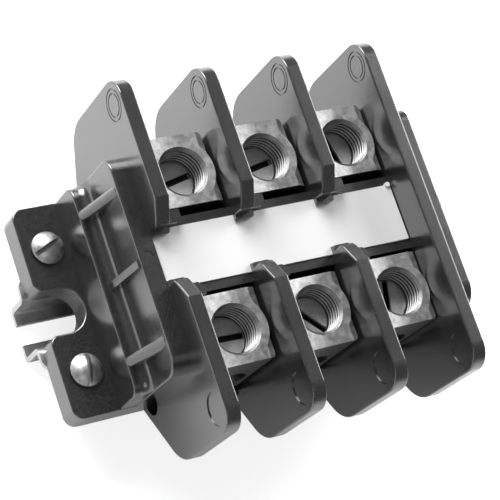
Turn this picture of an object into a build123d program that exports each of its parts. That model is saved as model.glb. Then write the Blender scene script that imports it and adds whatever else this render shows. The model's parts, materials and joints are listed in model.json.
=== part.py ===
from build123d import *
import math
import os

os.makedirs("parts", exist_ok=True)

# Layout. X runs along the row of poles, Y across it, Z up from the surface the channel stands on.
POLES = 3
PITCH = 25.4
BARRIER_T = 4.23
END_BODY_T = 8.0
BLOCK_L = POLES * PITCH + END_BODY_T
BLOCK_X = -BLOCK_L / 2
ROWS = (-1, 1)
ROW_NAMES = {-1: "front", 1: "rear"}
TOUCH = 0.02

# Mounting channel: a hat section pressed from sheet, open at the top, slotted at both ends.
CHANNEL_H = 11.1
SHEET = 1.5
WEB_Y = 8.0
FLANGE_Y = 13.9
BEND_R = 0.6
FLANGE_CORNER_R = 4.0
CHANNEL_OVERHANG = 0.9
SLOT_W = 5.8
SLOT_L = 22.0

# Heights above the underside of the feet.
FOOT_Z = CHANNEL_H
FLOOR_H = 10.0
SEAT_H = 36.6
RIB_H = 37.0
BARRIER_H = 47.84
FLOOR_Z = FOOT_Z + FLOOR_H
SEAT_Z = FOOT_Z + SEAT_H
RIB_Z = FOOT_Z + RIB_H
BARRIER_Z = FOOT_Z + BARRIER_H

# Barrier outline, seen along X. The slope, the blunt end and the tongue go down in steps from its top.
WING_Y = 49.4
WING_LOW_H = 13.2
WING_LOW_Z = FOOT_Z + WING_LOW_H
KEEL_Y = 30.4
WING_TOP_R = 6.5
WING_LOW_R = 11.0
WING_EDGE_R = 0.45
SLOPE_Y = 13.8
SLOPE_END_Y = 8.6
SLOPE_DROP = 3.84
SLOPE_END_Z = BARRIER_Z - SLOPE_DROP
END_Y = 7.6
END_DROP = 1.0
END_Z = SLOPE_END_Z - END_DROP
TONGUE_Y = 6.2
TONGUE_T = 1.3
TONGUE_W = 5.5
TONGUE_R = 0.9

# Round marks moulded into the outer faces of the wings, left bare.
MARK_Y = 42.6
MARK_DROP = 5.74
MARK_Z = BARRIER_Z - MARK_DROP
MARK_R = 4.5
RING_W = 0.4
RING_STEP = 1.15
MARK_DEPTH = 0.3
SOCKET_Y = 29.9
SOCKET_H = 6.6
SOCKET_Z = FOOT_Z + SOCKET_H
SOCKET_R = 3.7
SOCKET_DEPTH = 2.4

# Pole body.
BASE_Y = 33.0
BASE_EDGE_Z = FOOT_Z + (BASE_Y - KEEL_Y) * (WING_LOW_Z - FOOT_Z) / (WING_Y - KEEL_Y)
RIB_IN_Y = 8.5
RIB_OUT_Y = 10.8
DECK_T = 2.0
HOOK_X = 9.4
HOOK_OUT_Y = 12.0
HOOK_H = 3.0
HOOK_Z = RIB_Z + HOOK_H
HOOK_CHAMFER = 1.4

# Marking strip.
STRIP_Y = 8.17
STRIP_T = 1.0
STRIP_GAP = 0.3
TONGUE_GAP = 0.15
TONGUE_Z = SEAT_Z + STRIP_T + TONGUE_GAP
NUB_R = 0.7
NUB_H = 1.2
NUB_INSET = 0.9
NUB_GAP = 0.05

# Lugs. Each one sits a little off its place, as its screw lets it.
LUG_X = (BARRIER_T + PITCH) / 2
LUG_Y = 22.6
LUG_SHIFTS = {(0, -1): (0.3, 0.0), (0, 1): (0.4, -0.1), (1, -1): (0.4, 0.2),
              (1, 1): (0.4, -0.3), (2, -1): (0.9, 0.1), (2, 1): (0.6, -0.1)}
LUG_HALF_X = 9.3
LUG_LONG = 10.45
LUG_SHORT = 9.55
LUGS_TURNED = [(0, -1), (2, -1)]
LUG_H = 25.6
LUG_SIDE_CUT_X = 2.2
LUG_SIDE_CUT_Z = 1.2
LUG_CORNER_R = 1.5
BOSS_R = 9.45
WIRE_R = 6.35
WIRE_H = 8.9
THREAD_MAJOR_R = 7.14
THREAD_MINOR_R = 6.38
SINK_H = 0.6

# Set screws. Each stands in its lug with running clearance.
SET_CLEARANCE = 0.08
SET_R = THREAD_MINOR_R - SET_CLEARANCE
SET_L = 10.0
SET_DEPTHS = {(0, -1): 8.2, (0, 1): 7.4, (1, -1): 7.4, (1, 1): 7.4, (2, -1): 7.4, (2, 1): 7.4}
SET_CHAMFER = 0.55
SET_SLOT_W = 1.8
SET_SLOT_D = 3.0
SET_YAWS = {(0, -1): -2, (0, 1): 12, (1, -1): -47, (1, 1): 11, (2, -1): 77, (2, 1): -77}

# Current bars and the screws that hold the lugs from below.
BAR_T = 2.6
BAR_HALF_X = 7.0
BAR_END_Y = 31.0
BAR_CLEARANCE = 0.25
LUG_Z = FLOOR_Z + BAR_T
LUG_TOP_Z = LUG_Z + LUG_H
WIRE_Z = LUG_Z + WIRE_H
LUG_SCREW_R = 2.0
LUG_SCREW_CLEARANCE = 0.2
THREAD_PLAY = 0.05
LUG_SCREW_HEAD_R = 3.6
LUG_SCREW_HEAD_H = 2.4
WELL_R = 4.6
WELL_H = 7.0
HEX_ACROSS_R = 1.7
HEX_DEPTH = 1.3

# End brackets.
FOOT_L = 23.1
FOOT_T = 8.07
FOOT_Y = 30.3
WALL_Y = 30.1
FOOT_CORNER_R = 3.2
FOOT_EDGE_R = 0.5
NOTCH_IN = 5.9
NOTCH_X = FOOT_L - NOTCH_IN
NOTCH_R = 6.5
NOTCH_ENTRY_R = 2.6
WALL_X = 9.85
WALL_H = 21.2
WALL_CORNER_R = 4.0
FLANGE_T = 5.2
FLANGE_H = 38.8
FLANGE_END_Y = 30.3
FLANGE_R = {-1: 6.5, 1: 4.5}
COVE_R = 3.0
GUSSET_Y = 21.0
GUSSET_W = 3.4
GUSSET_TOP = 37.6
GUSSET_LIP = 0.15
FLANGE_EDGE_R = 0.5
RIB_W = 2.0
RIB_FOOT_X = 7.6
RIB_FOOT_H = 23.0
RIB_LIP = 0.7
GATE_R = 1.9
GATE_Y = 1.0
GATE_IN = 0.3
GATE_DEPTH = 0.12
PIN_IN = 6.5
PIN_X = FOOT_L - PIN_IN
PIN_Y = 24.8
PIN_R = 2.2

# Bracket screws and clamp nuts.
SCREW_IN = 7.1
SCREW_X = FOOT_L - SCREW_IN
SCREW_Y = 17.7
SCREW_R = 2.4
SCREW_HOLE_R = 2.65
HEAD_R = 4.65
HEAD_RIM = 1.0
HEAD_H = 3.6
HEAD_SLOT_W = 1.3
HEAD_SLOT_D = 2.2
SLOT_OVERRUN = 1.0
SCREW_YAWS = {(-1, 1): 21, (-1, -1): 80, (1, 1): 40, (1, -1): 120}
SCREW_BELOW = 6.0
CLAMP_IN_Y = 11.6
CLAMP_OUT_Y = 23.0
CLAMP_HEEL_Y = 20.9
CLAMP_HALF_X = 5.0
CLAMP_T = 3.2
CLAMP_GAP = 0.1


def pole_x(index):
    return BLOCK_X + index * PITCH


def mirrored(points):
    # A closed outline from one half of it, given from the bottom up on the +Y side.
    return points + [(-y, z) for y, z in reversed(points)]


def wing_points(closed_top):
    points = [(KEEL_Y, FOOT_Z), (WING_Y, WING_LOW_Z), (WING_Y, BARRIER_Z)]
    if not closed_top:
        points += [(SLOPE_Y, BARRIER_Z), (SLOPE_END_Y, SLOPE_END_Z), (END_Y, END_Z)]
        points += [(END_Y, TONGUE_Z + TONGUE_T), (TONGUE_Y, TONGUE_Z + TONGUE_T / 2), (TONGUE_Y, TONGUE_Z)]
        points += [(RIB_IN_Y, TONGUE_Z), (RIB_IN_Y, SEAT_Z)]
    return mirrored(points)


def wing_face(closed_top):
    # The barrier outline as a flat sketch: its own x is the part's Y, its own y the part's Z.
    with BuildSketch() as outline:
        with BuildLine():
            Polyline(*wing_points(closed_top), close=True)
        make_face()
        corners = [v for v in outline.vertices() if abs(abs(v.X) - WING_Y) < TOUCH]
        fillet([v for v in corners if abs(v.Y - BARRIER_Z) < TOUCH], WING_TOP_R)
        corners = [v for v in outline.vertices() if abs(abs(v.X) - WING_Y) < TOUCH]
        fillet([v for v in corners if abs(v.Y - WING_LOW_Z) < TOUCH], WING_LOW_R)
    return outline.sketch_local


def soften(barrier, left):
    # Rounds the outline edges of a barrier's two faces, above its foot and away from its tongue.
    rims = [e for x in (left, left + BARRIER_T) for e in barrier.edges() if abs(e.center().X - x) < TOUCH]
    rims = [e for e in rims if abs(e.tangent_at(0.5).X) < TOUCH and abs(e.center().Y) > END_Y - TOUCH]
    fillet([e for e in rims if e.center().Z > FOOT_Z + TOUCH], WING_EDGE_R)


def lug_centres(index):
    shifts = [LUG_SHIFTS[(index, row)] for row in ROWS]
    return [(pole_x(index) + LUG_X + dx, row * LUG_Y + dy) for row, (dx, dy) in zip(ROWS, shifts)]


# Pole housings
for index in range(POLES):
    left = pole_x(index)
    with BuildPart() as pole_housing:
        with BuildSketch(Plane.YZ.offset(left)):
            add(wing_face(False))
        extrude(amount=BARRIER_T)
        soften(pole_housing, left)
        # Floor that carries the current bar and the lugs.
        with BuildSketch(Plane.YZ.offset(left + BARRIER_T)):
            with BuildLine():
                Polyline(*mirrored([(KEEL_Y, FOOT_Z), (BASE_Y, BASE_EDGE_Z), (BASE_Y, FLOOR_Z)]), close=True)
            make_face()
        extrude(amount=PITCH - BARRIER_T)
        # Two ribs and the deck between them, under the marking strip.
        with BuildSketch(Plane.XY.offset(FLOOR_Z)):
            with Locations(*[(left + (BARRIER_T + PITCH) / 2, row * (RIB_IN_Y + RIB_OUT_Y) / 2) for row in ROWS]):
                Rectangle(PITCH - BARRIER_T, RIB_OUT_Y - RIB_IN_Y)
        extrude(amount=RIB_Z - FLOOR_Z)
        with BuildSketch(Plane.XY.offset(SEAT_Z - DECK_T)):
            with Locations((left + (BARRIER_T + PITCH) / 2, 0)):
                Rectangle(PITCH - BARRIER_T, 2 * RIB_IN_Y)
        extrude(amount=DECK_T)
        # Hooks at the inner ends of the barrier, standing on the ribs.
        for row in ROWS:
            tip = left + HOOK_X
            inner = row * RIB_IN_Y
            outer = row * HOOK_OUT_Y
            with BuildSketch(Plane.XY.offset(RIB_Z)):
                with BuildLine():
                    Polyline((left + BARRIER_T, inner), (tip - HOOK_CHAMFER, inner),
                             (tip, inner + row * HOOK_CHAMFER), (tip, outer),
                             (left + BARRIER_T, outer), close=True)
                make_face()
            extrude(amount=HOOK_Z - RIB_Z)
            with BuildSketch(Plane.XY.offset(TONGUE_Z)):
                with Locations((left + TONGUE_W / 2, row * (TONGUE_Y + SLOPE_END_Y) / 2)):
                    RectangleRounded(TONGUE_W, SLOPE_END_Y - TONGUE_Y, TONGUE_R)
            extrude(amount=TONGUE_T)
        # Windows for the current bar.
        with BuildSketch(Plane.XY.offset(FLOOR_Z)):
            with Locations((left + LUG_X, 0)):
                Rectangle(2 * (BAR_HALF_X + BAR_CLEARANCE), 2 * (RIB_OUT_Y + TOUCH))
        extrude(amount=BAR_T + BAR_CLEARANCE, mode=Mode.SUBTRACT)
        # Wells and holes for the screws that hold the lugs.
        with BuildSketch(Plane.XY.offset(FOOT_Z)):
            with Locations(*lug_centres(index)):
                Circle(WELL_R)
        extrude(amount=WELL_H, mode=Mode.SUBTRACT)
        with BuildSketch(Plane.XY.offset(FOOT_Z)):
            with Locations(*lug_centres(index)):
                Circle(LUG_SCREW_R + LUG_SCREW_CLEARANCE)
        extrude(amount=FLOOR_Z - FOOT_Z, mode=Mode.SUBTRACT)
        # Bare round marks and the sockets low on the left face.
        with BuildSketch(Plane.YZ.offset(left)):
            with Locations((MARK_Y, MARK_Z)):
                Circle(MARK_R)
                Circle(MARK_R - RING_W, mode=Mode.SUBTRACT)
                Circle(MARK_R - RING_STEP)
                Circle(MARK_R - RING_STEP - RING_W, mode=Mode.SUBTRACT)
            with Locations((-MARK_Y, MARK_Z)):
                Circle(MARK_R)
        extrude(amount=MARK_DEPTH, mode=Mode.SUBTRACT)
        with BuildSketch(Plane.YZ.offset(left)):
            with Locations(*[(row * SOCKET_Y, SOCKET_Z) for row in ROWS]):
                Circle(SOCKET_R)
        extrude(amount=SOCKET_DEPTH, mode=Mode.SUBTRACT)
    name = f"pole_housing_{index + 1}"
    pole_housing.part.label = name
    export_step(pole_housing.part, f"parts/{name}.step")

# End barrier: the same outline with no gap, and a thicker body below.
end_left = pole_x(POLES)
with BuildPart() as end_barrier:
    with BuildSketch(Plane.YZ.offset(end_left)):
        add(wing_face(True))
    extrude(amount=BARRIER_T)
    soften(end_barrier, end_left)
    with BuildSketch(Plane.YZ.offset(end_left + BARRIER_T)):
        with Locations((0, (FOOT_Z + RIB_Z) / 2)):
            Rectangle(2 * FLANGE_END_Y, RIB_Z - FOOT_Z)
    extrude(amount=END_BODY_T - BARRIER_T)
    with BuildSketch(Plane.YZ.offset(end_left)):
        with Locations((MARK_Y, MARK_Z)):
            Circle(MARK_R)
            Circle(MARK_R - RING_W, mode=Mode.SUBTRACT)
            Circle(MARK_R - RING_STEP)
            Circle(MARK_R - RING_STEP - RING_W, mode=Mode.SUBTRACT)
        with Locations((-MARK_Y, MARK_Z)):
            Circle(MARK_R)
    extrude(amount=MARK_DEPTH, mode=Mode.SUBTRACT)
end_barrier.part.label = "end_barrier"
export_step(end_barrier.part, "parts/end_barrier.step")

# Left end bracket. Distances named _X and _L above are measured left from the block.
with BuildPart() as left_bracket:
    with BuildSketch(Plane.XY.offset(FOOT_Z)) as foot:
        with Locations((BLOCK_X - FOOT_L / 2, 0)):
            Rectangle(FOOT_L, 2 * FOOT_Y)
        with Locations((BLOCK_X - NOTCH_X, 0)):
            Circle(NOTCH_R, mode=Mode.SUBTRACT)
        with Locations((BLOCK_X - (NOTCH_X + FOOT_L) / 2, 0)):
            Rectangle(FOOT_L - NOTCH_X, 2 * NOTCH_R, mode=Mode.SUBTRACT)
        edge = [v for v in foot.vertices() if abs(v.X - BLOCK_X + FOOT_L) < TOUCH]
        fillet([v for v in edge if abs(v.Y) > NOTCH_R + TOUCH], FOOT_CORNER_R)
        edge = [v for v in foot.vertices() if abs(v.X - BLOCK_X + FOOT_L) < TOUCH]
        fillet([v for v in edge if abs(v.Y) < NOTCH_R + TOUCH], NOTCH_ENTRY_R)
    extrude(amount=FOOT_T)
    rims = [e for e in left_bracket.edges() if abs(e.center().Z - FOOT_Z - FOOT_T) < TOUCH]
    fillet([e for e in rims if e.center().X < BLOCK_X - TOUCH and e.length < FOOT_L * 2], FOOT_EDGE_R)
    # Wall block behind the foot, with round upper corners.
    with BuildSketch(Plane.YZ.offset(BLOCK_X - WALL_X)) as wall:
        with Locations((0, FOOT_Z + WALL_H / 2)):
            Rectangle(2 * WALL_Y, WALL_H)
        fillet([v for v in wall.vertices() if v.Y > FOOT_Z + TOUCH], WALL_CORNER_R)
    extrude(amount=WALL_X - FLANGE_T)
    rims = [e for e in left_bracket.edges() if abs(e.center().X - BLOCK_X + WALL_X) < TOUCH]
    fillet([e for e in rims if e.center().Z > FOOT_Z + FOOT_T + TOUCH], FOOT_EDGE_R)
    # Flange against the first barrier.
    with BuildSketch(Plane.YZ.offset(BLOCK_X - FLANGE_T)) as flange:
        with Locations((0, FOOT_Z + FLANGE_H / 2)):
            Rectangle(2 * FLANGE_END_Y, FLANGE_H)
        for side in ROWS:
            fillet([v for v in flange.vertices() if v.Y > FOOT_Z + TOUCH and v.X * side > FLANGE_END_Y - TOUCH],
                   FLANGE_R[side])
    extrude(amount=FLANGE_T)
    # Soft outer edge on the flange.
    rims = [e for e in left_bracket.edges() if abs(e.center().X - BLOCK_X + FLANGE_T) < TOUCH]
    fillet([e for e in rims if e.center().Z > FOOT_Z + WALL_H + COVE_R], FLANGE_EDGE_R)
    # Cove where the flange rises from the wall, straight and then round the wall's upper corners.
    bend_z = FOOT_Z + WALL_H - WALL_CORNER_R
    bend_y = WALL_Y - WALL_CORNER_R
    cove_x = BLOCK_X - FLANGE_T - COVE_R
    for side in ROWS:
        with BuildSketch(Plane.XZ.offset(-side * bend_y)) as cove:
            with Locations((cove_x + COVE_R / 2, FOOT_Z + WALL_H + COVE_R / 2)):
                Rectangle(COVE_R, COVE_R)
            with Locations((cove_x, FOOT_Z + WALL_H + COVE_R)):
                Circle(COVE_R, mode=Mode.SUBTRACT)
        extrude(amount=side * bend_y)
        revolve(cove.sketch, axis=Axis((0, side * bend_y, bend_z), (-side, 0, 0)), revolution_arc=90)
        with Locations((cove_x + COVE_R / 2, side * (WALL_Y + COVE_R), FOOT_Z + WALL_H)):
            Box(COVE_R, 2 * COVE_R, 2 * (WALL_H - FOOT_T), mode=Mode.SUBTRACT)
    # Outer gussets, each a round bar that leans from the wall's edge to the flange, and the thin middle rib.
    for side in ROWS:
        low = Vector(BLOCK_X - WALL_X, side * GUSSET_Y, FOOT_Z + WALL_H)
        high = Vector(BLOCK_X - FLANGE_T - GUSSET_LIP, side * GUSSET_Y, FOOT_Z + GUSSET_TOP)
        lean = high - low
        inward = Vector(lean.Z, 0, -lean.X).normalized() * (GUSSET_W / 2)
        with BuildSketch(Plane(origin=low + inward, x_dir=(0, 1, 0), z_dir=lean)):
            Circle(GUSSET_W / 2)
        extrude(amount=lean.length)
        with BuildSketch(Plane.XZ.offset(-side * GUSSET_Y)):
            with BuildLine():
                Polyline(((low + inward).X, (low + inward).Z), (BLOCK_X - FLANGE_T, FOOT_Z + WALL_H - TOUCH),
                         ((high + inward).X, (high + inward).Z), close=True)
            make_face()
        extrude(amount=GUSSET_W / 2, both=True)
    with BuildSketch(Plane.XZ):
        with BuildLine():
            Polyline((BLOCK_X - RIB_FOOT_X, FOOT_Z + WALL_H - TOUCH), (BLOCK_X - FLANGE_T, FOOT_Z + WALL_H - TOUCH),
                     (BLOCK_X - FLANGE_T, FOOT_Z + FLANGE_H - FLANGE_EDGE_R),
                     (BLOCK_X - FLANGE_T - RIB_LIP, FOOT_Z + FLANGE_H - 2 * FLANGE_EDGE_R),
                     (BLOCK_X - RIB_FOOT_X, FOOT_Z + RIB_FOOT_H), close=True)
        make_face()
    extrude(amount=RIB_W / 2, both=True)
    # Faint round marks left by the mould.
    with BuildSketch(Plane.XY.offset(FOOT_Z + FLANGE_H)):
        with Locations((BLOCK_X - FLANGE_T / 2 - GATE_IN, GATE_Y)):
            Circle(GATE_R)
    extrude(amount=-GATE_DEPTH, mode=Mode.SUBTRACT)
    with BuildSketch(Plane.XY.offset(FOOT_Z + FOOT_T)):
        with Locations((BLOCK_X - PIN_X, -PIN_Y)):
            Circle(PIN_R)
    extrude(amount=-GATE_DEPTH, mode=Mode.SUBTRACT)
    # Screw holes through the foot.
    with BuildSketch(Plane.XY.offset(FOOT_Z)):
        with Locations(*[(BLOCK_X - SCREW_X, side * SCREW_Y) for side in ROWS]):
            Circle(SCREW_HOLE_R)
    extrude(amount=FOOT_T, mode=Mode.SUBTRACT)
left_bracket.part.label = "left_bracket"
export_step(left_bracket.part, "parts/left_bracket.step")

# Right end bracket: the same moulding, mirrored.
with BuildPart() as right_bracket:
    add(mirror(left_bracket.part, about=Plane.YZ))
right_bracket.part.label = "right_bracket"
export_step(right_bracket.part, "parts/right_bracket.step")

# Marking strip between the two rows
strip_left = BLOCK_X + STRIP_GAP
strip_right = pole_x(POLES) - STRIP_GAP
with BuildPart() as marking_strip:
    with BuildSketch(Plane.XY.offset(SEAT_Z)):
        with Locations(((strip_left + strip_right) / 2, 0)):
            Rectangle(strip_right - strip_left, 2 * STRIP_Y)
    extrude(amount=STRIP_T)
    # A nub left where the strip was cut from its runner.
    with BuildSketch(Plane.XY.offset(RIB_Z + NUB_GAP)):
        with Locations((strip_right - NUB_INSET, STRIP_Y)):
            Circle(NUB_R)
    extrude(amount=NUB_H)
marking_strip.part.label = "marking_strip"
export_step(marking_strip.part, "parts/marking_strip.step")

# Mounting channel
channel_end = BLOCK_L / 2 + FOOT_L + CHANNEL_OVERHANG
with BuildPart() as mounting_channel:
    with BuildSketch(Plane.YZ.offset(-channel_end)) as hat:
        with BuildLine():
            Polyline((-FLANGE_Y, CHANNEL_H), (-WEB_Y + SHEET, CHANNEL_H), (-WEB_Y + SHEET, SHEET),
                     (WEB_Y - SHEET, SHEET), (WEB_Y - SHEET, CHANNEL_H), (FLANGE_Y, CHANNEL_H),
                     (FLANGE_Y, CHANNEL_H - SHEET), (WEB_Y, CHANNEL_H - SHEET), (WEB_Y, 0),
                     (-WEB_Y, 0), (-WEB_Y, CHANNEL_H - SHEET), (-FLANGE_Y, CHANNEL_H - SHEET), close=True)
        make_face()
        bends = [v for v in hat.vertices() if abs(v.X) < WEB_Y + TOUCH]
        outer = [v for v in bends if v.Y < TOUCH or v.Y > CHANNEL_H - TOUCH]
        fillet(outer, BEND_R + SHEET)
        bends = [v for v in hat.vertices() if abs(abs(v.X) - WEB_Y + SHEET) < TOUCH or abs(abs(v.X) - WEB_Y) < TOUCH]
        fillet([v for v in bends if abs(v.Y - SHEET) < TOUCH or abs(v.Y - CHANNEL_H + SHEET) < TOUCH], BEND_R)
    extrude(amount=2 * channel_end)
    for side in ROWS:
        with BuildSketch(Plane.XY):
            with Locations((side * (channel_end - (SLOT_L - SLOT_W / 2) / 2), 0)):
                Rectangle(SLOT_L - SLOT_W / 2, SLOT_W)
            with Locations((side * (channel_end - SLOT_L + SLOT_W / 2), 0)):
                Circle(SLOT_W / 2)
        extrude(amount=SHEET, mode=Mode.SUBTRACT)
    upright = mounting_channel.edges().filter_by(Axis.Z)
    tips = [e for e in upright if abs(abs(e.center().X) - channel_end) < TOUCH and abs(e.center().Y) > WEB_Y + TOUCH]
    fillet(tips, FLANGE_CORNER_R)
mounting_channel.part.label = "mounting_channel"
export_step(mounting_channel.part, "parts/mounting_channel.step")

# Lugs
for index in range(POLES):
    for row in ROWS:
        centre_x, centre_y = lug_centres(index)[ROWS.index(row)]
        with BuildPart() as lug:
            turned = (index, row) in LUGS_TURNED
            inner_y = centre_y - row * (LUG_LONG if turned else LUG_SHORT)
            outer_y = centre_y + row * (LUG_SHORT if turned else LUG_LONG)
            with BuildSketch(Plane.XZ.offset(-inner_y)):
                with BuildLine():
                    Polyline((centre_x - LUG_HALF_X, LUG_Z), (centre_x + LUG_HALF_X, LUG_Z),
                             (centre_x + LUG_HALF_X, LUG_TOP_Z - LUG_SIDE_CUT_Z),
                             (centre_x + LUG_HALF_X - LUG_SIDE_CUT_X, LUG_TOP_Z),
                             (centre_x - LUG_HALF_X + LUG_SIDE_CUT_X, LUG_TOP_Z),
                             (centre_x - LUG_HALF_X, LUG_TOP_Z - LUG_SIDE_CUT_Z), close=True)
                make_face()
            extrude(amount=inner_y - outer_y)
            upright = lug.edges().filter_by(Axis.Z)
            fillet([e for e in upright if abs(e.center().Y - outer_y) < TOUCH], LUG_CORNER_R)
            with BuildSketch(Plane.XY.offset(WIRE_Z)):
                with Locations((centre_x, centre_y)):
                    Circle(BOSS_R)
            extrude(amount=LUG_TOP_Z - WIRE_Z)
            # Wire bore along Y.
            with BuildSketch(Plane.XZ.offset(-inner_y)):
                with Locations((centre_x, WIRE_Z)):
                    Circle(WIRE_R)
            extrude(amount=inner_y - outer_y, mode=Mode.SUBTRACT)
            # Threaded hole from the top down to the floor of the wire bore, with a countersink.
            with BuildSketch(Plane.XY.offset(WIRE_Z - WIRE_R)):
                with Locations((centre_x, centre_y)):
                    Circle(THREAD_MINOR_R)
            extrude(amount=LUG_TOP_Z - WIRE_Z + WIRE_R, mode=Mode.SUBTRACT)
            with BuildSketch(Plane.XZ.offset(-centre_y)):
                with BuildLine():
                    Polyline((centre_x + THREAD_MINOR_R, LUG_TOP_Z - SINK_H),
                             (centre_x + THREAD_MAJOR_R, LUG_TOP_Z), (centre_x, LUG_TOP_Z),
                             (centre_x, LUG_TOP_Z - SINK_H), close=True)
                make_face()
            revolve(axis=Axis((centre_x, centre_y, 0), (0, 0, 1)), mode=Mode.SUBTRACT)
            # Hole for the screw from below.
            with BuildSketch(Plane.XY.offset(LUG_Z)):
                with Locations((centre_x, centre_y)):
                    Circle(LUG_SCREW_R + THREAD_PLAY)
            extrude(amount=WIRE_Z - LUG_Z, mode=Mode.SUBTRACT)
        name = f"lug_{index + 1}_{ROW_NAMES[row]}"
        lug.part.label = name
        export_step(lug.part, f"parts/{name}.step")

# Set screws
for index in range(POLES):
    for row in ROWS:
        centre_x, centre_y = lug_centres(index)[ROWS.index(row)]
        set_top = LUG_TOP_Z - SET_DEPTHS[(index, row)]
        with BuildPart() as set_screw:
            with BuildSketch(Plane.XY.offset(set_top - SET_L)):
                with Locations((centre_x, centre_y)):
                    Circle(SET_R)
            extrude(amount=SET_L)
            chamfer(set_screw.edges().filter_by(GeomType.CIRCLE), SET_CHAMFER)
            with BuildSketch(Plane.XY.offset(set_top - SET_SLOT_D)):
                with Locations(Location((centre_x, centre_y, 0), (0, 0, SET_YAWS[(index, row)]))):
                    Rectangle(2 * SET_R + SLOT_OVERRUN, SET_SLOT_W)
            extrude(amount=SET_SLOT_D, mode=Mode.SUBTRACT)
        name = f"set_screw_{index + 1}_{ROW_NAMES[row]}"
        set_screw.part.label = name
        export_step(set_screw.part, f"parts/{name}.step")

# Current bars
for index in range(POLES):
    with BuildPart() as current_bar:
        with BuildSketch(Plane.XY.offset(FLOOR_Z)):
            with Locations((pole_x(index) + LUG_X, 0)):
                Rectangle(2 * BAR_HALF_X, 2 * BAR_END_Y)
            with Locations(*lug_centres(index)):
                Circle(LUG_SCREW_R + LUG_SCREW_CLEARANCE, mode=Mode.SUBTRACT)
        extrude(amount=BAR_T)
    name = f"current_bar_{index + 1}"
    current_bar.part.label = name
    export_step(current_bar.part, f"parts/{name}.step")

# Screws that hold the lugs from below
with BuildPart() as lug_screws:
    for index in range(POLES):
        for centre in lug_centres(index):
            head_z = FOOT_Z + WELL_H - LUG_SCREW_HEAD_H
            with BuildSketch(Plane.XY.offset(head_z)):
                with Locations(centre):
                    Circle(LUG_SCREW_HEAD_R)
            extrude(amount=LUG_SCREW_HEAD_H)
            with BuildSketch(Plane.XY.offset(FOOT_Z + WELL_H)):
                with Locations(centre):
                    Circle(LUG_SCREW_R)
            extrude(amount=WIRE_Z - WIRE_R - FOOT_Z - WELL_H)
            with BuildSketch(Plane.XY.offset(head_z)):
                with Locations(centre):
                    RegularPolygon(HEX_ACROSS_R, 6)
            extrude(amount=HEX_DEPTH, mode=Mode.SUBTRACT)
lug_screws.part.label = "lug_screws"
export_step(lug_screws.part, "parts/lug_screws.step")

# Bracket screws
dome_r = (HEAD_R ** 2 + (HEAD_H - HEAD_RIM) ** 2) / (2 * (HEAD_H - HEAD_RIM))
foot_top = FOOT_Z + FOOT_T
with BuildPart() as bracket_screws:
    for end in (-1, 1):
        for side in ROWS:
            at_x = end * (BLOCK_L / 2 + SCREW_X)
            at_y = side * SCREW_Y
            with BuildSketch(Plane.XY.offset(FOOT_Z - SCREW_BELOW)):
                with Locations((at_x, at_y)):
                    Circle(SCREW_R)
            extrude(amount=SCREW_BELOW + FOOT_T)
            with BuildSketch(Plane.XZ.offset(-at_y)):
                with BuildLine():
                    Polyline((at_x, foot_top), (at_x + HEAD_R, foot_top), (at_x + HEAD_R, foot_top + HEAD_RIM))
                    RadiusArc((at_x + HEAD_R, foot_top + HEAD_RIM), (at_x, foot_top + HEAD_H), -dome_r)
                    Line((at_x, foot_top + HEAD_H), (at_x, foot_top))
                make_face()
            revolve(axis=Axis((at_x, at_y, 0), (0, 0, 1)))
            with BuildSketch(Plane.XY.offset(foot_top + HEAD_H - HEAD_SLOT_D)):
                with Locations(Location((at_x, at_y, 0), (0, 0, SCREW_YAWS[(end, side)]))):
                    Rectangle(2 * HEAD_R + SLOT_OVERRUN, HEAD_SLOT_W)
            extrude(amount=HEAD_SLOT_D, mode=Mode.SUBTRACT)
bracket_screws.part.label = "bracket_screws"
export_step(bracket_screws.part, "parts/bracket_screws.step")

# Clamp nuts under the feet, reaching under the channel flanges
with BuildPart() as clamp_nuts:
    for end in (-1, 1):
        for side in ROWS:
            at_x = end * (BLOCK_L / 2 + SCREW_X)
            top_z = CHANNEL_H - SHEET - CLAMP_GAP
            with BuildSketch(Plane.XY.offset(top_z - CLAMP_T)):
                with Locations((at_x, side * (CLAMP_IN_Y + CLAMP_OUT_Y) / 2)):
                    Rectangle(2 * CLAMP_HALF_X, CLAMP_OUT_Y - CLAMP_IN_Y)
            extrude(amount=CLAMP_T)
            with BuildSketch(Plane.XY.offset(top_z)):
                with Locations((at_x, side * (CLAMP_HEEL_Y + CLAMP_OUT_Y) / 2)):
                    Rectangle(2 * CLAMP_HALF_X, CLAMP_OUT_Y - CLAMP_HEEL_Y)
            extrude(amount=FOOT_Z - top_z)
            with BuildSketch(Plane.XY.offset(top_z - CLAMP_T)):
                with Locations((at_x, side * SCREW_Y)):
                    Circle(SCREW_R + THREAD_PLAY)
            extrude(amount=CLAMP_T, mode=Mode.SUBTRACT)
clamp_nuts.part.label = "clamp_nuts"
export_step(clamp_nuts.part, "parts/clamp_nuts.step")
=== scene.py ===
import json
import math
import bmesh
import bpy
from mathutils import Matrix, Vector


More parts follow.
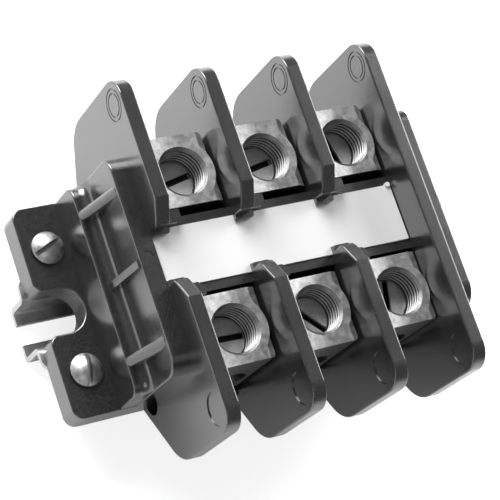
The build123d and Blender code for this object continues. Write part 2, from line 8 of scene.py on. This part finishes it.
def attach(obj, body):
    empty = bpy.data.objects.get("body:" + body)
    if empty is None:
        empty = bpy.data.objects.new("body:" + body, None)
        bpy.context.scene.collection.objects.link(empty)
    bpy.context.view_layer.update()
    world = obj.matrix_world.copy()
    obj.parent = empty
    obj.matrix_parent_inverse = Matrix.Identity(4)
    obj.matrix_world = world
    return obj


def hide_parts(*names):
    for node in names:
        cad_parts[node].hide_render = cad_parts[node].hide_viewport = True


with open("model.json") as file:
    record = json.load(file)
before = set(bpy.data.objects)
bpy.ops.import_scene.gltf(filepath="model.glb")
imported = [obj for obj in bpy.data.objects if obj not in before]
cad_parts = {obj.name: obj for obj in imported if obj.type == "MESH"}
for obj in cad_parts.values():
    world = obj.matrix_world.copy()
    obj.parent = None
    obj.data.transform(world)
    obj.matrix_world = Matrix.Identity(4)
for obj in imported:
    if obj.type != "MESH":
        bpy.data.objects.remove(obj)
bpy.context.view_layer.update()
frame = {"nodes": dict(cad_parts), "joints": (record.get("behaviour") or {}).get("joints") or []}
nodes = frame["nodes"]
scene = bpy.context.scene
MM = 0.001


# Helpers for the materials. A pattern's scale counts per metre, and depths are in metres.

# The part of a noise pattern's range that is spread over a finish's values.
CLOUD_LOW = 0.3
CLOUD_HIGH = 0.7
PLATE_CLOUD_HIGH = 0.72


def grey(value):
    return (value, value, value, 1)


def new_material(name):
    mat = bpy.data.materials.new(name)
    mat.use_nodes = True
    tree = mat.node_tree
    tree.nodes.clear()
    out = tree.nodes.new("ShaderNodeOutputMaterial")
    shader = tree.nodes.new("ShaderNodeBsdfPrincipled")
    tree.links.new(shader.outputs["BSDF"], out.inputs["Surface"])
    return mat, tree, shader, out


def texture_place(tree, kind):
    return tree.nodes.new("ShaderNodeTexCoord").outputs[kind]


def texture_z(tree, kind):
    # The height within the piece for Generated, and how level the face is for Normal.
    split = tree.nodes.new("ShaderNodeSeparateXYZ")
    tree.links.new(texture_place(tree, kind), split.inputs["Vector"])
    return split.outputs["Z"]


def noise(tree, scale, detail, rough=0.55):
    node = tree.nodes.new("ShaderNodeTexNoise")
    node.inputs["Scale"].default_value = scale
    node.inputs["Detail"].default_value = detail
    node.inputs["Roughness"].default_value = rough
    tree.links.new(texture_place(tree, "Object"), node.inputs["Vector"])
    return node.outputs["Fac"]


def tone_ramp(tree, value, stops):
    node = tree.nodes.new("ShaderNodeValToRGB")
    for element, (position, tone) in zip(node.color_ramp.elements, stops):
        element.position = position
        element.color = grey(tone)
    tree.links.new(value, node.inputs["Fac"])
    return node.outputs["Color"]


def remap(tree, value, low, high, to_low, to_high):
    node = tree.nodes.new("ShaderNodeMapRange")
    node.inputs["From Min"].default_value = low
    node.inputs["From Max"].default_value = high
    node.inputs["To Min"].default_value = to_low
    node.inputs["To Max"].default_value = to_high
    tree.links.new(value, node.inputs["Value"])
    return node.outputs["Result"]


def math_node(tree, operation, *values):
    # Each value is a number or another node's output.
    node = tree.nodes.new("ShaderNodeMath")
    node.operation = operation
    for socket, value in zip(node.inputs, values):
        if isinstance(value, float):
            socket.default_value = value
        else:
            tree.links.new(value, socket)
    return node.outputs[0]


def blend(tree, factor, first, tone):
    mix = tree.nodes.new("ShaderNodeMix")
    mix.data_type = "RGBA"
    tree.links.new(factor, mix.inputs["Factor"])
    tree.links.new(first, mix.inputs["A"])
    mix.inputs["B"].default_value = grey(tone)
    return mix.outputs["Result"]


def bump(tree, shader, height, strength, distance):
    node = tree.nodes.new("ShaderNodeBump")
    node.inputs["Strength"].default_value = strength
    node.inputs["Distance"].default_value = distance
    tree.links.new(height, node.inputs["Height"])
    tree.links.new(node.outputs["Normal"], shader.inputs["Normal"])


# Moulding and strip

def moulding_material():
    mat, tree, shader, _ = new_material("black_moulding")
    cloud = noise(tree, scale=60.0, detail=3.0)
    grain = noise(tree, scale=1900.0, detail=2.0, rough=0.6)
    speckle = tone_ramp(tree, grain, ((0.36, 0.006), (0.64, 0.032)))
    tree.links.new(speckle, shader.inputs["Base Color"])
    tree.links.new(remap(tree, cloud, CLOUD_LOW, CLOUD_HIGH, 0.2, 0.27), shader.inputs["Roughness"])
    shader.inputs["IOR"].default_value = 2.0
    shader.inputs["Coat Weight"].default_value = 1.0
    shader.inputs["Coat Roughness"].default_value = 0.21
    bump(tree, shader, grain, strength=0.6, distance=0.00006)
    return mat


def strip_material():
    mat, tree, shader, _ = new_material("white_strip")
    cloud = noise(tree, scale=35.0, detail=2.0)
    grain = noise(tree, scale=3000.0, detail=2.0)
    whites = tone_ramp(tree, cloud, ((CLOUD_LOW, 0.79), (CLOUD_HIGH, 0.84)))
    tree.links.new(whites, shader.inputs["Base Color"])
    shader.inputs["Roughness"].default_value = 0.55
    bump(tree, shader, grain, strength=0.2, distance=0.00003)
    return mat


# Plated metal

# Tone and fade of the painted shade in the set screw's slot.
SLOT_SHADE_TONE = 0.1
SLOT_SHADE_FADE = 0.12
# Tone and fade of the painted shade on upright faces.
SIDE_SHADE_TONE = 0.14
SIDE_SHADE_FADE = 0.02


def plated_material(name, tones, roughness, clouds, grains, depth, shade_below=None, side_shade=None):
    mat, tree, shader, _ = new_material(name)
    cloud = noise(tree, scale=clouds, detail=5.0, rough=0.6)
    grain = noise(tree, scale=grains, detail=4.0, rough=0.65)
    plate = tone_ramp(tree, cloud, ((CLOUD_LOW, tones[0]), (PLATE_CLOUD_HIGH, tones[1])))
    if shade_below is not None:
        # Painted shade: the slot and everything below this share of the piece's height are painted dark.
        height = texture_z(tree, "Generated")
        slot_shade = remap(tree, height, shade_below - SLOT_SHADE_FADE, shade_below, 1.0, 0.0)
        plate = blend(tree, slot_shade, plate, SLOT_SHADE_TONE)
    if side_shade is not None:
        # Painted shade: upright faces above a share of the piece's height are painted darker than level
        # ones.
        upright, sloping, start = side_shade
        level = math_node(tree, "ABSOLUTE", texture_z(tree, "Normal"))
        side = remap(tree, level, upright, sloping, 1.0, 0.0)
        above = remap(tree, texture_z(tree, "Generated"), start - SIDE_SHADE_FADE, start, 0.0, 1.0)
        plate = blend(tree, math_node(tree, "MULTIPLY", side, above), plate, SIDE_SHADE_TONE)
    tree.links.new(plate, shader.inputs["Base Color"])
    tree.links.new(remap(tree, cloud, CLOUD_LOW, CLOUD_HIGH, *roughness), shader.inputs["Roughness"])
    shader.inputs["Metallic"].default_value = 1.0
    bump(tree, shader, grain, strength=0.5, distance=depth)
    return mat


# Name: darkest and lightest tone, least and most roughness, clouds, grains, depth of the grain.
PLATES = {
    "plated_lug": ((0.56, 0.98), (0.36, 0.52), 620.0, 1900.0, 0.00014),
    "plated_screw": ((0.78, 1.0), (0.5, 0.65), 420.0, 1700.0, 0.0001),
    "plated_thread": ((0.4, 0.62), (0.44, 0.56), 420.0, 1700.0, 0.00003),
    # Painted shade for the thread's root and deeper sides.
    "thread_shade": ((0.03, 0.08), (0.5, 0.6), 420.0, 1700.0, 0.00003),
    "plated_channel": ((0.6, 0.82), (0.34, 0.46), 260.0, 1800.0, 0.00006),
    "plated_bar": ((0.5, 0.66), (0.3, 0.4), 160.0, 1500.0, 0.00003),
    "plated_fastener": ((0.4, 0.7), (0.34, 0.5), 600.0, 2000.0, 0.00008),
    "plated_head": ((0.4, 0.7), (0.34, 0.5), 600.0, 2000.0, 0.00008),
}
EXTRAS = {
    # Painted shade: the lugs' upright faces are painted darker than their tops.
    "plated_lug": {"side_shade": (0.3, 0.6, 0.0)},
    # Painted shade: the set screw's slot and lower part are painted dark.
    "plated_screw": {"shade_below": 0.97},
    # Painted shade: the upright slot walls and rim of the screw heads are painted darker.
    "plated_head": {"side_shade": (0.1, 0.3, 0.8)},
}

moulding = moulding_material()
white_strip = strip_material()
plates = {name: plated_material(name, *finish, **EXTRAS.get(name, {})) for name, finish in PLATES.items()}

# The start of a node's name and its finish. The first that fits is taken.
FINISHES = (
    ("pole_housing", moulding), ("end_barrier", moulding),
    ("left_bracket", moulding), ("right_bracket", moulding),
    ("marking_strip", white_strip), ("mounting_channel", plates["plated_channel"]),
    ("lug_screws", plates["plated_fastener"]), ("lug_", plates["plated_lug"]),
    ("set_screw", plates["plated_screw"]), ("current_bar", plates["plated_bar"]),
    ("bracket_screws", plates["plated_head"]), ("clamp_nuts", plates["plated_fastener"]),
)
for name, node in nodes.items():
    fitting = [finish for start, finish in FINISHES if name.startswith(start)]
    node.data.materials.clear()
    node.data.materials.append(fitting[0])


# Lugs with their helical threads, in millimetres

FOOT = 11.1
BORE_R = 6.38
ROOT_R = 7.12
CUT_R = 7.17
CUT_OVER = 1.0
THREAD_PITCH = 25.4 / 18
THREAD_LOW = FOOT + 28.0
THREAD_LAP = 0.05
LUG_TOP = FOOT + 38.2
SINK_H = 0.6
STEPS = 64
# The crest keeps the plain plated finish down to this share of the thread's depth; deeper, the thread
# carries painted shade.
SHADE_START_SHARE = 0.3
SHADE_START_R = BORE_R + SHADE_START_SHARE * (ROOT_R - BORE_R)
# Radius and share of the pitch of each corner of the thread, from the start of its crest.
PROFILE = ((BORE_R, 0.0), (BORE_R, 0.25), (SHADE_START_R, 0.344), (ROOT_R, 0.5625), (ROOT_R, 0.6875))
# The sides of that profile that stay bright, and the threaded piece's materials for both kinds; the other
# sides and the root get painted shade.
BRIGHT_SIDES = (0, 1)
BRIGHT = 1
ROOT_SHADE = 2
# In mesh units, which are metres.
WELD = 1e-7
SHARP_ANGLE = math.radians(25)


def mesh_object(name, points, faces):
    mesh = bpy.data.meshes.new(name)
    mesh.from_pydata([[c * MM for c in point] for point in points], [], faces)
    mesh.validate()
    mesh.update()
    item = bpy.data.objects.new(name, mesh)
    scene.collection.objects.link(item)
    return item


def thread_rows(cx, cy):
    # A strip of faces that winds up the bore, cut off flat below and by the countersink above.
    turns = math.ceil((LUG_TOP - THREAD_LOW) / THREAD_PITCH) + 1
    count = turns * STEPS
    corners = len(PROFILE) + 1
    points = []
    for k in range(count + 1):
        angle = 2 * math.pi * k / STEPS
        for radius, share in PROFILE + ((BORE_R, 1.0),):
            z = THREAD_LOW - THREAD_PITCH + THREAD_PITCH * (k / STEPS + share)
            z = max(z, THREAD_LOW - THREAD_LAP)
            z = min(z, LUG_TOP - SINK_H * (ROOT_R - radius) / (ROOT_R - BORE_R))
            points.append((cx + radius * math.cos(angle), cy + radius * math.sin(angle), z))
    faces = []
    for k in range(count):
        for j in range(len(PROFILE)):
            a = k * corners + j
            b = a + corners
            faces.append((a, a + 1, b + 1, b))
    return points, faces


def bore_cutter(cx, cy):
    angles = [2 * math.pi * k / STEPS for k in range(STEPS)]
    rim = [(cx + CUT_R * math.cos(angle), cy + CUT_R * math.sin(angle)) for angle in angles]
    points = [(x, y, z) for z in (THREAD_LOW, LUG_TOP + CUT_OVER) for x, y in rim]
    faces = [tuple(reversed(range(STEPS))), tuple(range(STEPS, 2 * STEPS))]
    faces += [(k, (k + 1) % STEPS, STEPS + (k + 1) % STEPS, STEPS + k) for k in range(STEPS)]
    return mesh_object("cutter", points, faces)


def weld(mesh):
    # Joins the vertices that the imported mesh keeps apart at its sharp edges.
    if "custom_normal" in mesh.attributes:
        mesh.attributes.remove(mesh.attributes["custom_normal"])
    body = bmesh.new()
    body.from_mesh(mesh)
    bmesh.ops.remove_doubles(body, verts=body.verts, dist=WELD)
    body.to_mesh(mesh)
    body.free()


def widened_bore(node, cx, cy):
    # The lug's own mesh, copied, with room cut for the thread.
    cutter = bore_cutter(cx, cy)
    copy = node.copy()
    copy.data = node.data.copy()
    weld(copy.data)
    scene.collection.objects.link(copy)
    cut = copy.modifiers.new("cut", "BOOLEAN")
    cut.operation = "DIFFERENCE"
    cut.solver = "EXACT"
    cut.object = cutter
    bpy.context.view_layer.update()
    graph = bpy.context.evaluated_depsgraph_get()
    mesh = bpy.data.meshes.new_from_object(copy.evaluated_get(graph))
    mesh.transform(copy.matrix_world)
    bpy.data.objects.remove(copy, do_unlink=True)
    bpy.data.objects.remove(cutter, do_unlink=True)
    return mesh


def threaded_lug(node, cx, cy):
    mesh = widened_bore(node, cx, cy)
    thread = mesh_object("thread", *thread_rows(cx, cy))
    threads = len(thread.data.polygons)
    body = bmesh.new()
    body.from_mesh(mesh)
    body.from_mesh(thread.data)
    bpy.data.objects.remove(thread, do_unlink=True)
    body.to_mesh(mesh)
    body.free()
    piece = bpy.data.objects.new("threaded_" + node.name, mesh)
    scene.collection.objects.link(piece)
    mesh.materials.clear()
    for name in ("plated_lug", "plated_thread", "thread_shade"):
        mesh.materials.append(plates[name])
    # Painted shade: thread faces other than the crest, the outer part of one side and the countersink get
    # the dark material.
    for k, face in enumerate(mesh.polygons[-threads:]):
        in_sink = face.center.z > (LUG_TOP - SINK_H) * MM
        face.material_index = BRIGHT if in_sink or k % len(PROFILE) in BRIGHT_SIDES else ROOT_SHADE
    mesh.shade_smooth()
    mesh.set_sharp_from_angle(angle=SHARP_ANGLE)
    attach(piece, "block")
    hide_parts(node.name)


places = {joint["child"]: joint["pos_m"] for joint in frame["joints"]}
for name in sorted(nodes):
    if name.startswith("lug_") and name != "lug_screws":
        place = places[name.replace("lug", "set_screw")]
        threaded_lug(nodes[name], place[0] / MM, place[1] / MM)


# Floor

FLOOR_REACH = 3.0
FLOOR_DROP = 0.0002
FLOOR_TONE = 0.85
# How brightly the floor glows for the camera, and for the reflections in shiny faces.
FLOOR_SHOWN = 0.75
FLOOR_MIRRORED = 0.3
# Reach of the painted contact shadow in the floor's reflected glow.
COVER_REACH = 0.1

floor_mesh = bpy.data.meshes.new("floor")
sides = ((-1, -1), (1, -1), (1, 1), (-1, 1))
floor_mesh.from_pydata([(x * FLOOR_REACH, y * FLOOR_REACH, 0) for x, y in sides], [], [(0, 1, 2, 3)])
floor = bpy.data.objects.new("floor", floor_mesh)
scene.collection.objects.link(floor)
floor.location.z = -FLOOR_DROP

mat, tree, shader, out = new_material("floor")
shader.inputs["Base Color"].default_value = grey(FLOOR_TONE)
shader.inputs["Roughness"].default_value = 0.9
path = tree.nodes.new("ShaderNodeLightPath")
# Painted shadow: what shiny faces see of the floor's glow is darkened by ambient occlusion where the
# object covers it.
cover = tree.nodes.new("ShaderNodeAmbientOcclusion")
cover.inputs["Distance"].default_value = COVER_REACH
mirrored = math_node(tree, "MULTIPLY", path.outputs["Is Glossy Ray"], cover.outputs["AO"])
shown = math_node(tree, "MULTIPLY", path.outputs["Is Camera Ray"], FLOOR_SHOWN)
glow = tree.nodes.new("ShaderNodeEmission")
glow.inputs["Color"].default_value = grey(1)
tree.links.new(math_node(tree, "MULTIPLY_ADD", mirrored, FLOOR_MIRRORED, shown), glow.inputs["Strength"])
both = tree.nodes.new("ShaderNodeAddShader")
tree.links.new(shader.outputs["BSDF"], both.inputs[0])
tree.links.new(glow.outputs["Emission"], both.inputs[1])
tree.links.new(both.outputs["Shader"], out.inputs["Surface"])
floor_mesh.materials.append(mat)


# World: pale at the horizon, dim above, white where the camera sees it

SKY = ((0.0, 0.7), (0.2, 0.17))

world = bpy.data.worlds.new("studio")
scene.world = world
world.use_nodes = True
tree = world.node_tree
tree.nodes.clear()
out = tree.nodes.new("ShaderNodeOutputWorld")
back = tree.nodes.new("ShaderNodeBackground")
path = tree.nodes.new("ShaderNodeLightPath")
sky = tone_ramp(tree, texture_z(tree, "Generated"), SKY)
tree.links.new(blend(tree, path.outputs["Is Camera Ray"], sky, 1), back.inputs["Color"])
back.inputs["Strength"].default_value = 1.0
tree.links.new(back.outputs["Background"], out.inputs["Surface"])


# Softbox lamps: name, place and side length in metres, power in watts

LAMPS = (
    ("key", (-0.28, 0.87, 0.55), 0.8, 18.0),
    ("side", (0.8, 0.3, 0.5), 0.45, 6.5),
    ("fill", (-0.55, -0.55, 0.65), 0.45, 0.8),
)
LAMP_TARGET = Vector((0, 0, 0.03))

for name, place, width, power in LAMPS:
    lamp = bpy.data.lights.new(name, "AREA")
    lamp.shape = "RECTANGLE"
    lamp.size = width
    lamp.size_y = width
    lamp.energy = power
    holder = bpy.data.objects.new(name, lamp)
    holder.location = place
    holder.rotation_mode = "QUATERNION"
    holder.rotation_quaternion = (LAMP_TARGET - Vector(place)).to_track_quat("-Z", "Y")
    scene.collection.objects.link(holder)


# Camera, solved from the photograph

RIGHT = (0.86368, -0.31779, 0.39123)
UP = (0.17822, 0.91860, 0.35272)
BACK = (-0.47147, -0.23492, 0.85002)
CAMERA_PLACE = (-0.252316, -0.120493, 0.476362)

camera = bpy.data.cameras.new("camera")
camera.sensor_width = 36.0
camera.lens = 136.11
view = bpy.data.objects.new("camera", camera)
view.matrix_world = Matrix((*zip(RIGHT, UP, BACK, CAMERA_PLACE), (0, 0, 0, 1)))
scene.collection.objects.link(view)
scene.camera = view
scene.view_settings.view_transform = "Standard"
